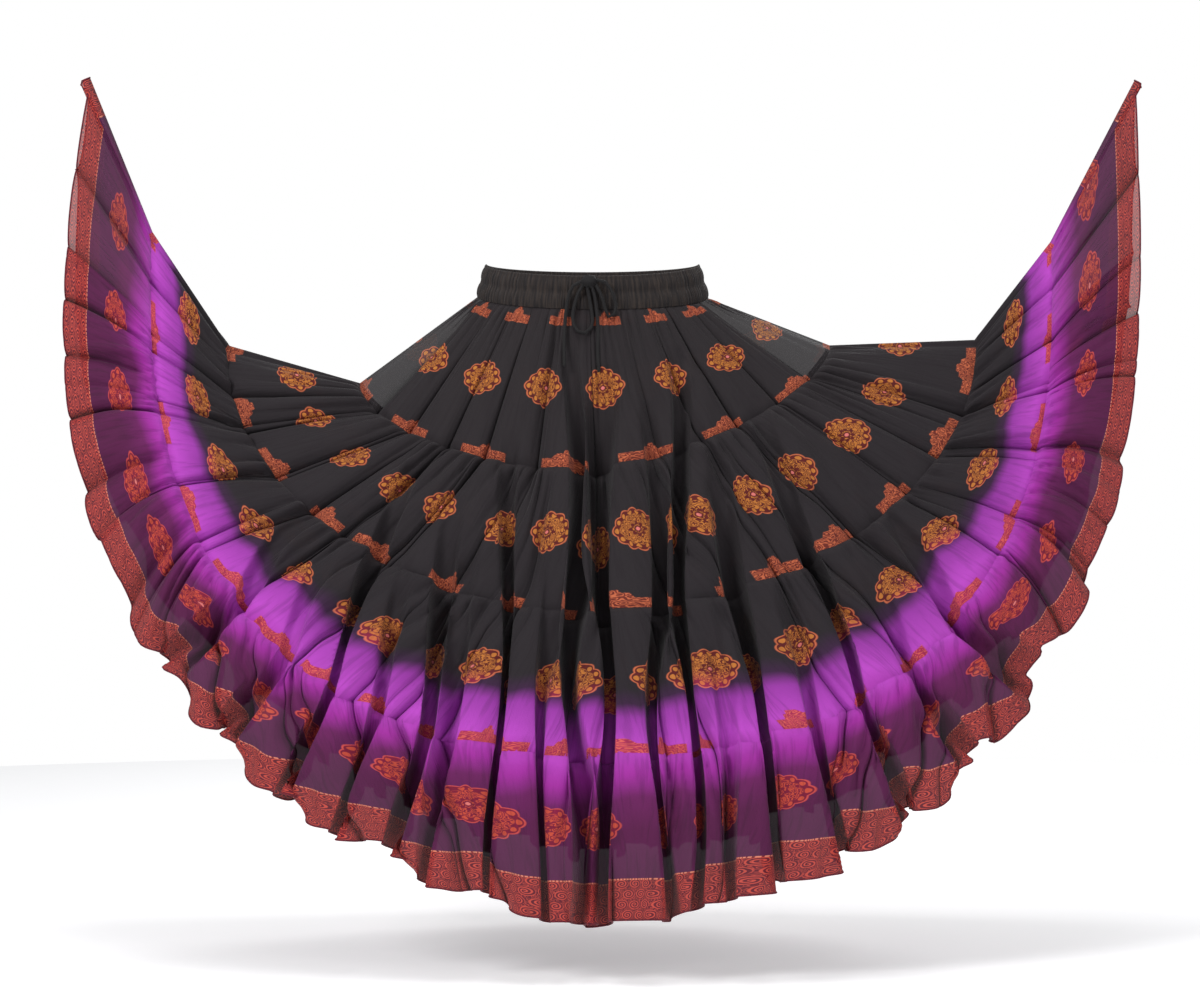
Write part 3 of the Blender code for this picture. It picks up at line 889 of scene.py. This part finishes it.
def make_waistband():
    """The casing as one sheet: up its outer face, over the top edge and down its inner face."""
    around = np.linspace(0.0, 1.0, CASING_COLUMNS)
    bottom = SECTIONS[1][0]
    downs = bottom * (1 - np.linspace(0.0, 1.0, CASING_ROWS[0]))
    rows = [casing_row(around % 1.0, down, 1.0) for down in downs]
    top = casing_row(around % 1.0, 0.0, 0.0)
    top[:, 2] += CASING_HALF
    rows.append(top)
    inside = bottom * np.linspace(0.0, 1.0, CASING_ROWS[1])
    rows += [casing_row(around % 1.0, down, -1.0) for down in inside]
    points = np.array(rows)
    points[:, -1] = points[:, 0]
    across = np.concatenate((downs, [0.0], -inside))
    thread = np.linspace(0.0, CASING_FLAT[0], CASING_COLUMNS)
    flat = flat_places(thread, across)
    return grid_strip("cloth_waistband", points, flat)


waistband = make_waistband()
print(waistband.name, len(waistband.data.polygons) * 2, "triangles, area",
      round(surface_area(waistband), 4), "of", round(CASING_FLAT[0] * CASING_FLAT[1], 4))

# %% [markdown]
# The cloth is sheer cotton voile, dyed in bands while wet, so that black runs into bright purple
# and purple into plum with soft uneven edges. Its motifs are woven in gold thread, which takes
# the dye too: gold on black, coral on purple and red on plum. The colours are a ramp on the
# length down the cloth. Motifs are drawn by arithmetic in flat metres, so they bend, narrow and
# vanish in the folds as woven ones do.

# %% Dye and thread colours
DYE_STOPS = (
    (0.000, rgb(34, 29, 31)), (0.602, rgb(33, 28, 32)), (0.626, rgb(54, 26, 58)),
    (0.646, rgb(142, 50, 152)), (0.695, rgb(174, 66, 182)), (0.742, rgb(152, 40, 148)),
    (0.775, rgb(98, 24, 84)), (0.820, rgb(82, 20, 66)), (0.945, rgb(74, 18, 58)),
)
GOLD_STOPS = (
    (0.000, rgb(180, 112, 44)), (0.604, rgb(178, 108, 46)), (0.650, rgb(204, 86, 72)),
    (0.730, rgb(196, 74, 68)), (0.790, rgb(184, 70, 52)), (0.945, rgb(178, 68, 50)),
)
RIM_STOPS = (
    (0.000, rgb(184, 96, 62)), (0.604, rgb(182, 94, 62)), (0.650, rgb(210, 98, 88)),
    (0.760, rgb(192, 72, 70)), (0.945, rgb(178, 64, 60)),
)
DARK_THREAD_STOPS = (
    (0.000, rgb(86, 22, 20)), (0.604, rgb(86, 22, 22)), (0.650, rgb(164, 36, 84)),
    (0.740, rgb(146, 26, 72)), (0.800, rgb(114, 18, 48)), (0.945, rgb(104, 16, 44)),
)
MEDALLION_HALF_WIDTH = 0.037
MEDALLION_HALF_HEIGHT = 0.0345
# Parts of a medallion, as shares of the way from its middle to its edge.
BODY_REACH = 0.80
TIP_REACH, TIP_SHARPNESS = 0.18, 7.0
LOBE_REACH, LOBES = 0.10, 6.0
EDGE_FADE = (1.0, 0.95)
RIM_FADE = (0.91, 0.94)
INNER_FADE = (0.72, 0.67)
PINK_FADE = (0.10, 0.07)
RING_FADE_IN, RING_FADE_OUT = (0.13, 0.16), (0.22, 0.19)
BEADS, BEAD_MIDDLE, BEAD_REACH = 14.0, 0.80, 0.12
BEAD_FADE = (0.55, 0.85)
PETALS, PETAL_MIDDLE, PETAL_REACH = 8.0, 0.30, 0.06
PETAL_FADE = (0.03, -0.02)
# Curls: how often their noise turns, where their lines start and end, and size and width of each.
CURL_TURNS = 9.0
CURL_FADE = (0.42, 0.58)
MEDALLION_CURLS = (0.0085, 0.24)
CROWN_CURLS = (0.0080, 0.30)
BORDER_CURLS = (0.0060, 0.18)
print("dye runs over", DYE_STOPS[2][0], "to", DYE_STOPS[6][0], "m down")


# %% Medallions
def cell(desk, around, spacing, shift):
    """Metres from the middle of the nearest repeat around the cloth."""
    turns = desk.plus(desk.over(around, spacing), shift)
    return desk.times(desk.centred(turns), spacing)


def curls(desk, around, down, size, width):
    """Small woven curls: bent lines of a noise, from 0 to 1."""
    where = desk.point(desk.over(around, size), desk.over(down, size))
    bent = desk.times(desk.noise(where, 1.0, 1.0), CURL_TURNS)
    wave = desk.absolute(desk.centred(bent))
    return desk.step(wave, CURL_FADE[0] - width, CURL_FADE[1] - width)


def medallion(desk, around, down, middle, shift):
    """Shares of a pointed medallion: the whole, its rim, its dark thread and its pink middle."""
    x = desk.over(cell(desk, around, MOTIF_SPACING, shift), MEDALLION_HALF_WIDTH)
    y = desk.over(desk.minus(down, middle), MEDALLION_HALF_HEIGHT)
    reach = desk.reach(x, y)
    angle = desk.calc("ARCTAN2", y, x)
    tips = desk.calc("POWER", desk.absolute(desk.calc("COSINE", angle)), TIP_SHARPNESS)
    lobes = desk.absolute(desk.lobed(angle, LOBES))
    points = desk.plus(desk.times(tips, TIP_REACH), desk.times(lobes, LOBE_REACH))
    out = desk.over(reach, desk.plus(BODY_REACH, points))
    whole = desk.step(out, *EDGE_FADE)
    rim = desk.step(out, *RIM_FADE)
    band = desk.over(desk.absolute(desk.minus(out, BEAD_MIDDLE)), BEAD_REACH)
    beads = desk.times(desk.minus(1.0, band), desk.plus(desk.lobed(angle, BEADS), 1.0))
    rounds = desk.step(beads, *BEAD_FADE)
    petals = desk.plus(PETAL_MIDDLE, desk.times(desk.lobed(angle, PETALS), PETAL_REACH))
    rose = desk.step(desk.minus(out, petals), *PETAL_FADE)
    ring = desk.times(desk.step(out, *RING_FADE_IN), desk.step(out, *RING_FADE_OUT))
    pink = desk.step(out, *PINK_FADE)
    inner = desk.step(out, *INNER_FADE)
    scrolls = desk.times(curls(desk, around, down, *MEDALLION_CURLS), inner)
    edging = desk.times(desk.minus(1.0, rounds), desk.minus(1.0, inner))
    lines = desk.calc("MAXIMUM", edging, scrolls)
    dark = desk.calc("MAXIMUM", lines, desk.minus(rose, ring))
    dark = desk.times(dark, desk.minus(1.0, rim))
    return whole, rim, dark, pink


# %% Cut-off motifs at the seams
# Its flat height, then two steps that stand on it: where each one's side is, and how high it is.
CROWN_HEIGHT = 0.013
CROWN_HUMP, HUMP_HEIGHT = (0.016, 0.011), 0.007
CROWN_TOP, TOP_HEIGHT = (0.007, 0.004), 0.005
CROWN_UPPER_EDGE = (-0.0005, 0.001)
CROWN_SEAM_EDGE = (-0.001, 0.0)
CROWN_SIDE_EDGE = (0.0345, 0.0330)


def crown(desk, around, up, shift):
    """A stepped, humped piece of a motif that the seam cuts off, and its dark thread."""
    x = desk.absolute(cell(desk, around, MOTIF_SPACING, shift))
    hump = desk.times(desk.step(x, *CROWN_HUMP), HUMP_HEIGHT)
    top = desk.times(desk.step(x, *CROWN_TOP), TOP_HEIGHT)
    height = desk.plus(CROWN_HEIGHT, desk.plus(hump, top))
    under = desk.step(desk.minus(height, up), *CROWN_UPPER_EDGE)
    above = desk.step(up, *CROWN_SEAM_EDGE)
    wide = desk.step(x, *CROWN_SIDE_EDGE)
    whole = desk.times(desk.times(under, above), wide)
    return whole, curls(desk, around, up, *CROWN_CURLS)


# %% Scroll border
BORDER_TOP = 0.887
BORDER_SOFTNESS = 0.0006
SCROLL = 0.0145
SCROLL_STRETCH = 1.15
SCROLL_TURNS = 5.2
SCROLL_LINE = (0.24, 0.32)
SCROLL_EDGE = (0.50, 0.44)
LEAF_EDGE = (0.40, 0.48)
LEAF_STRENGTH = 0.8
DOT_SPACING = 0.0036
DOT_FADE = (0.30, 0.45)
DOT_LINE = 0.001
DOT_LINE_EDGE = (0.0013, 0.0008)


def border(desk, around, down):
    """Rows of curling scrolls on a dark red ground, under a dotted pale line."""
    row = desk.over(desk.minus(down, BORDER_TOP), SCROLL)
    odd = desk.times(desk.calc("FLOOR", row), 0.5)
    turns = desk.plus(desk.over(around, SCROLL * SCROLL_STRETCH), odd)
    x = desk.centred(turns)
    y = desk.centred(row)
    parity = desk.calc("FRACT", desk.times(desk.calc("FLOOR", turns), 0.5))
    way = desk.minus(desk.times(parity, 4.0), 1.0)
    reach = desk.reach(x, y)
    angle = desk.over(desk.calc("ARCTAN2", y, x), 2 * math.pi)
    coil = desk.plus(desk.times(reach, SCROLL_TURNS), desk.times(angle, way))
    line = desk.absolute(desk.centred(coil))
    scroll = desk.times(desk.step(line, *SCROLL_LINE), desk.step(reach, *SCROLL_EDGE))
    small = curls(desk, around, down, *BORDER_CURLS)
    leaves = desk.times(small, desk.step(reach, *LEAF_EDGE))
    thread = desk.calc("MAXIMUM", scroll, desk.times(leaves, LEAF_STRENGTH))
    inside = desk.step(down, BORDER_TOP - BORDER_SOFTNESS, BORDER_TOP + BORDER_SOFTNESS)
    dots = desk.step(desk.calc("FRACT", desk.over(around, DOT_SPACING)), *DOT_FADE)
    edge = desk.absolute(desk.minus(down, BORDER_TOP + DOT_LINE))
    dotted = desk.times(desk.step(edge, *DOT_LINE_EDGE), dots)
    return inside, thread, dotted


# %% Cloth
CRINKLE = 0.0016
WEAVE = 0.0006
MOTIF_RAISE = 0.0003
BUMP_STRENGTH = 0.8
# Repeats to a metre, around and down, of the unevenness in dye, creases and threads.
DRIFT_SCALE, DRIFT = 7.5, 0.11
BLOTCH_SCALES = (30.0, 9.0)
BLOTCH_FADE, BLOTCH_SHARE, BLOTCH_DEPTH = (0.45, 0.75), 0.35, 0.45
CREASE_SCALES = (230.0, 13.0)
# Painted shade in the crinkle's valleys: where it fades in, how much of it there is, and how dark
# it goes.
CREASE_SHADE_FADE, CREASE_SHADE_SHARE, CREASE_SHADE_DEPTH = (0.52, 0.34), 0.35, 0.6
WEAVE_SCALES = (1500.0, 1100.0)
# The crease colour is painted shade for the crinkle's valleys. The blotch colour is uneven dye.
BLOTCH_COLOUR, CREASE_SHADE_COLOUR = rgb(20, 12, 18), rgb(20, 8, 16)
PINK = rgb(206, 110, 104)
BORDER_GROUND, BORDER_THREAD, BORDER_DOTS = rgb(92, 14, 32), rgb(184, 66, 54), rgb(206, 122, 98)
CROWN_THREAD_SHARE = 0.9


def voile(name, alpha, middle, shift, crowns, bordered):
    """Dyed sheer cotton with woven motifs, crinkle and weave, with painted shade in the crinkle's
    valleys.
    """
    desk = Desk(name, roughness=0.80, alpha=alpha, sheen=0.06)
    around, down = desk.place()
    wander = desk.noise(desk.point(desk.times(around, DRIFT_SCALE), 0.0), 1.0, 3.0)
    drift = desk.times(desk.minus(wander, 0.5), DRIFT)
    dyed = desk.plus(down, drift)
    ground = desk.ramp(dyed, DYE_STOPS)
    blotch = desk.step(desk.grain(around, down, BLOTCH_SCALES), *BLOTCH_FADE)
    ground = desk.mix(desk.times(blotch, BLOTCH_SHARE), ground,
                      desk.mix(BLOTCH_DEPTH, ground, BLOTCH_COLOUR))
    gold = desk.ramp(dyed, GOLD_STOPS)
    rim_colour = desk.ramp(dyed, RIM_STOPS)
    dark_thread = desk.ramp(dyed, DARK_THREAD_STOPS)
    whole, rim, dark, pink = medallion(desk, around, down, middle, shift)
    motif = desk.mix(dark, gold, dark_thread)
    motif = desk.mix(rim, motif, rim_colour)
    motif = desk.mix(pink, motif, PINK)
    colour = desk.mix(whole, ground, motif)
    raised = whole
    for seam, crown_shift in crowns:
        piece, thread = crown(desk, around, desk.minus(seam, down), crown_shift)
        fill = desk.mix(desk.times(thread, CROWN_THREAD_SHARE), rim_colour, dark_thread)
        colour = desk.mix(piece, colour, fill)
        raised = desk.calc("MAXIMUM", raised, piece)
    if bordered:
        inside, thread, dotted = border(desk, around, down)
        fill = desk.mix(thread, BORDER_GROUND, BORDER_THREAD)
        colour = desk.mix(inside, colour, fill)
        colour = desk.mix(dotted, colour, BORDER_DOTS)
        raised = desk.calc("MAXIMUM", raised, inside)
    creases = desk.grain(around, down, CREASE_SCALES)
    # Painted shade: the colour darkens where the crinkle's bump is low, in its valleys.
    painted_crease_shade = desk.times(desk.step(creases, *CREASE_SHADE_FADE), CREASE_SHADE_SHARE)
    desk.paint(desk.mix(painted_crease_shade, colour, desk.mix(CREASE_SHADE_DEPTH, colour, CREASE_SHADE_COLOUR)))
    weave = desk.grain(around, down, WEAVE_SCALES, 0.0)
    fine = desk.plus(desk.times(weave, WEAVE), desk.times(raised, MOTIF_RAISE))
    desk.raise_by(desk.plus(desk.times(creases, CRINKLE), fine), 1.0, BUMP_STRENGTH)
    return desk.material


# Cloth that hangs in folds is nearly solid. Near the ridges it hangs in one layer and is sheer.
FOLDED = 0.985
SINGLE = {"tier_1": 0.80, "tier_4": 0.86}
SINGLE_WAVES = {"tier_1": 1, "tier_4": 2}
# Name, length down of the medallions' middles, their shift, then each seam and its motifs' shift.
TIER_LOOKS = {
    "tier_1": ("black_voile_upper", 0.167, 0.20, ((0.287, 0.62), (0.072, 0.35))),
    "tier_2": ("black_voile_lower", 0.385, 0.45, ((0.490, 0.10),)),
    "tier_3": ("purple_voile", 0.600, 0.05, ((0.710, 0.55),)),
    "tier_4": ("plum_voile", 0.812, 0.30, ()),
}


def mark_single(obj, tier):
    """Gives the second material to the faces that lie within a few waves of a ridge."""
    places = np.empty(len(obj.data.loops) * 2)
    obj.data.uv_layers["flat"].uv.foreach_get("vector", places)
    first = np.empty(len(obj.data.polygons), int)
    obj.data.polygons.foreach_get("loop_start", first)
    share = places.reshape(-1, 2)[first, 0] / tier["flat"]
    column = np.round(share * (tier["columns"] - 1)).astype(int)
    counts = wave_count(threads[tier["name"]], tier)[column]
    ridges = wave_count(np.array([0.0, 0.5, 1.0]), tier)
    distance = np.min(np.abs(counts[:, None] - ridges[None, :]), axis=1)
    single = (distance < SINGLE_WAVES[tier["name"]]).astype(int)
    obj.data.polygons.foreach_set("material_index", single)
    print(obj.name, "faces in one layer", int(single.sum()))


for tier in TIERS:
    name = tier["name"]
    title, middle, shift, crowns = TIER_LOOKS[name]
    bordered = tier is TIERS[-1]
    dress(cloths[name], voile(title, FOLDED, middle, shift, crowns, bordered))
    if name in SINGLE:
        sheer = voile(title + "_single", SINGLE[name], middle, shift, crowns, bordered)
        cloths[name].data.materials.append(sheer)
        mark_single(cloths[name], tier)


# %% Waistband, hem and cord
# Where the painted highlight on the tops of plain cotton's creases fades in.
CREST_HIGHLIGHT_FADE = (0.35, 0.70)
STRAND = (0.0026, 0.0042)
STRAND_FADE, STRAND_HEIGHT = (0.05, 0.40), 0.0008
CORD_LIGHT, CORD_DARK = rgb(26, 24, 25), rgb(12, 11, 12)


def plain_cotton(name, dark, light, scales, height):
    """Plain dyed cotton with upright creases, and a painted highlight along their tops."""
    desk = Desk(name, roughness=0.82, sheen=0.10)
    around, down = desk.place()
    creases = desk.grain(around, down, scales)
    # The light colour is a painted highlight, laid where the creases' bump is high.
    desk.paint(desk.mix(desk.step(creases, *CREST_HIGHLIGHT_FADE), dark, light))
    weave = desk.grain(around, down, WEAVE_SCALES, 0.0)
    total = desk.plus(desk.times(creases, height), desk.times(weave, WEAVE))
    desk.raise_by(total, 1.0, BUMP_STRENGTH)
    return desk.material


def braid(name):
    """Braided cord: strands that cross on a slant in both directions."""
    desk = Desk(name, roughness=0.72, sheen=0.05)
    around, down = desk.place()
    strands = []
    for way in (1.0, -1.0):
        slant = desk.plus(desk.over(around, STRAND[0]), desk.times(desk.over(down, STRAND[1]), way))
        strands.append(desk.absolute(desk.centred(slant)))
    height = desk.calc("MINIMUM", *strands)
    desk.paint(desk.mix(desk.step(height, *STRAND_FADE), CORD_LIGHT, CORD_DARK))
    desk.raise_by(height, STRAND_HEIGHT)
    return desk.material


# The lighter colour of each is a painted highlight on the tops of its creases.
waistband_cotton = plain_cotton("waistband_cotton", rgb(26, 22, 23), rgb(50, 42, 38),
                                scales=(190.0, 30.0), height=0.0012)
hem_cotton = plain_cotton("hem_cotton", rgb(74, 16, 30), rgb(122, 34, 46),
                          scales=(300.0, 300.0), height=0.0004)
cord_braid = braid("cord_braid")
dress(waistband, waistband_cotton)
dress(hem, hem_cotton)
print("plain finishes ready")

# %% [markdown]
# The floor is a round pale sheet that glows a little, and the air around it looks white, so that
# no wall stands in the way of a camera on any side. Large soft lights stand in front, above and
# behind the skirt.

# %% Studio
FLOOR = -0.975
FLOOR_RADIUS = 3.4
FLOOR_SIDES = 96
FLOOR_RINGS = 5
FLOOR_GLOW = 0.36
PAPER_GRAIN = 40.0
WHITE = (1.0, 1.0, 1.0, 1.0)


def make_studio():
    """A round flat floor under the skirt."""
    turn = np.linspace(0.0, 2 * math.pi, FLOOR_SIDES + 1)
    reach = FLOOR_RADIUS * np.linspace(0.0, 1.0, FLOOR_RINGS)
    points = np.empty((len(reach), len(turn), 3))
    points[:, :, 0] = reach[:, None] * np.cos(turn)
    points[:, :, 1] = reach[:, None] * np.sin(turn)
    points[:, :, 2] = FLOOR
    return grid_strip("studio_floor", points, points[:, :, :2].copy())


studio = make_studio()
paper = Desk("studio_paper", roughness=0.9)
across = paper.nodes.new("ShaderNodeTexCoord").outputs["Object"]
speckle = paper.noise(across, PAPER_GRAIN)
paper.paint(paper.mix(speckle, rgb(236, 236, 238), rgb(242, 242, 243)))
paper.shader.inputs["Emission Color"].default_value = WHITE
paper.shader.inputs["Emission Strength"].default_value = FLOOR_GLOW
dress(studio, paper.material)
print("floor at", FLOOR)


# %% Lights
SKIRT_MIDDLE = (0.0, 0.0, -0.35)
AIR_COLOUR = (0.93, 0.94, 0.96, 1.0)
AIR_STRENGTH = 0.33
# Name, place, size and power. All of them aim at the skirt's middle.
LIGHTS = (
    ("key_light", (-2.6, -3.0, 1.7), 1.2, 98.0),
    ("fill_light", (2.6, -3.4, 0.8), 1.4, 40.0),
    ("top_light", (0.0, -0.9, 2.6), 1.6, 46.0),
    ("back_light", (1.4, 3.2, 1.6), 1.6, 52.0),
)
for name, place, size, power in LIGHTS:
    bpy.ops.object.light_add(type="AREA", location=place)
    lamp = bpy.context.object
    lamp.name = name
    lamp.data.size = size
    lamp.data.energy = power
    aim = np.array(SKIRT_MIDDLE) - np.array(place)
    lamp.rotation_euler = (math.acos(-aim[2] / np.linalg.norm(aim)), 0.0,
                           math.atan2(-aim[0], aim[1]))
world = bpy.data.worlds.new("studio_air")
bpy.context.scene.world = world
world.use_nodes = True
air = world.node_tree
seen = air.nodes.new("ShaderNodeBackground")
seen.inputs["Color"].default_value = WHITE
shining = air.nodes["Background"]
shining.inputs["Color"].default_value = AIR_COLOUR
shining.inputs["Strength"].default_value = AIR_STRENGTH
either = air.nodes.new("ShaderNodeMixShader")
air.links.new(air.nodes.new("ShaderNodeLightPath").outputs["Is Camera Ray"], either.inputs[0])
air.links.new(shining.outputs[0], either.inputs[1])
air.links.new(seen.outputs[0], either.inputs[2])
air.links.new(either.outputs[0], air.nodes["World Output"].inputs["Surface"])
print("lights", [row[0] for row in LIGHTS])

# %% [markdown]
# Last, each piece rides on the part's only body and replaces its solids.

for tier in TIERS:
    obj = cloths[tier["name"]]
    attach(obj, "root")
    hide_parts(*tier["nodes"])
for obj, slot in ((hem, "plum_cloth"), (waistband, "black_cloth")):
    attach(obj, "root")
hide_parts("waistband")
dress(knot, cord_braid)
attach(knot, "root")
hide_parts("drawstring_knot")
for name, obj in cords.items():
    dress(obj, cord_braid)
    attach(obj, "root")
    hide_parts(name)
